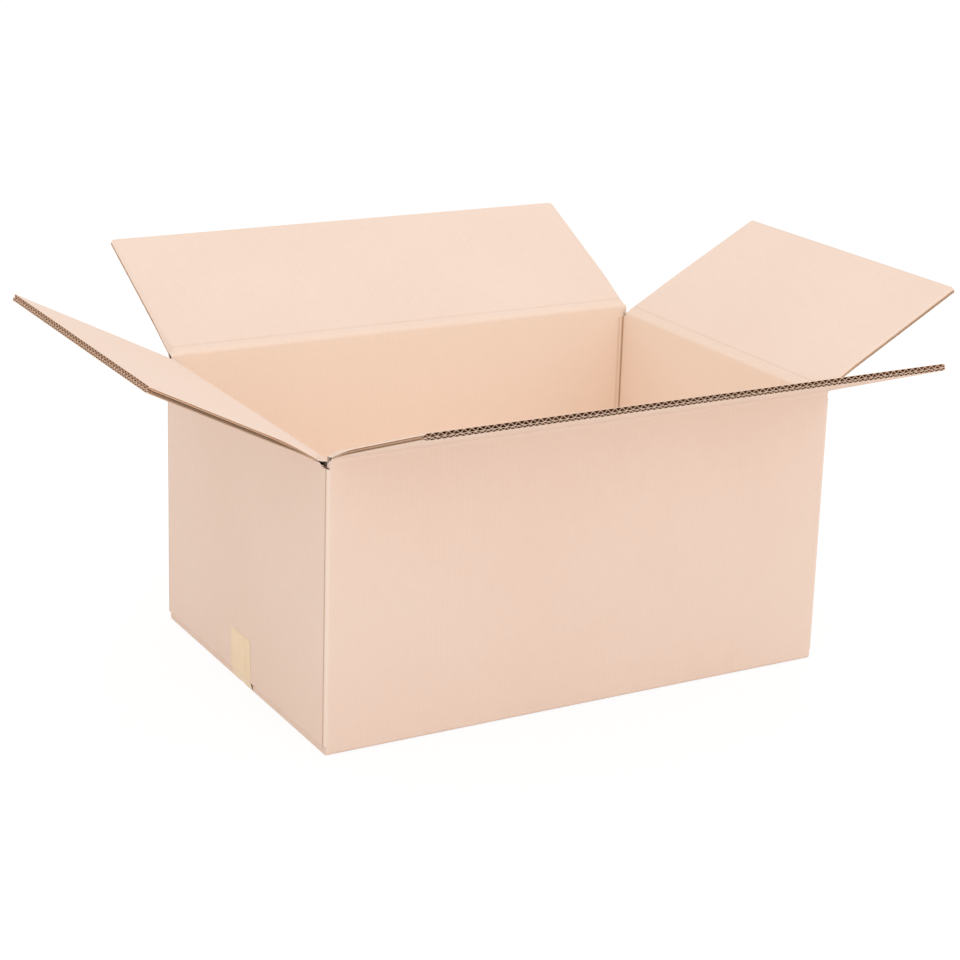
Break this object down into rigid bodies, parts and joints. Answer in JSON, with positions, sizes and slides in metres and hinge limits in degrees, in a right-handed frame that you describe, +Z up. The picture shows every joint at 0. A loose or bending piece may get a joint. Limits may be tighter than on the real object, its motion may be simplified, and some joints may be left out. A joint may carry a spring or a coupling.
{
  "type": "open cardboard shipping box",
  "caption": "Open-topped double-wall corrugated shipping box with taped bottom flaps and hinged top flaps folded outwards.",
  "frame": {"origin": "middle of the box's underside, on the tape's lower face", "axes": "+Z up, +X along the long walls to the right, +Y from the front wall to the rear wall"},
  "size_m": [0.9531, 0.7765, 0.4058],
  "materials": {
    "kraft_board": "matte",
    "buff_tape": "satin"
  },
  "bodies": {
    "box": {"box_body": "kraft_board", "bottom_tape": "buff_tape"},
    "front_flap": {"flap_front": "kraft_board"},
    "rear_flap": {"flap_rear": "kraft_board"},
    "left_flap": {"flap_left": "kraft_board"},
    "right_flap": {"flap_right": "kraft_board"}
  },
  "joints": [
    {"name": "front_flap_hinge", "type": "hinge", "parent": "box", "child": "front_flap", "pos_m": [0, -0.205, 0.31], "axis": [1, 0, 0], "range_deg": [-159, 103]},
    {"name": "rear_flap_hinge", "type": "hinge", "parent": "box", "child": "rear_flap", "pos_m": [0, 0.205, 0.31], "axis": [-1, 0, 0], "range_deg": [-154, 108]},
    {"name": "left_flap_hinge", "type": "hinge", "parent": "box", "child": "left_flap", "pos_m": [-0.3, 0, 0.3027], "axis": [0, -1, 0], "range_deg": [-153, 109]},
    {"name": "right_flap_hinge", "type": "hinge", "parent": "box", "child": "right_flap", "pos_m": [0.3, 0, 0.3027], "axis": [0, 1, 0], "range_deg": [-151, 111]}
  ]
}
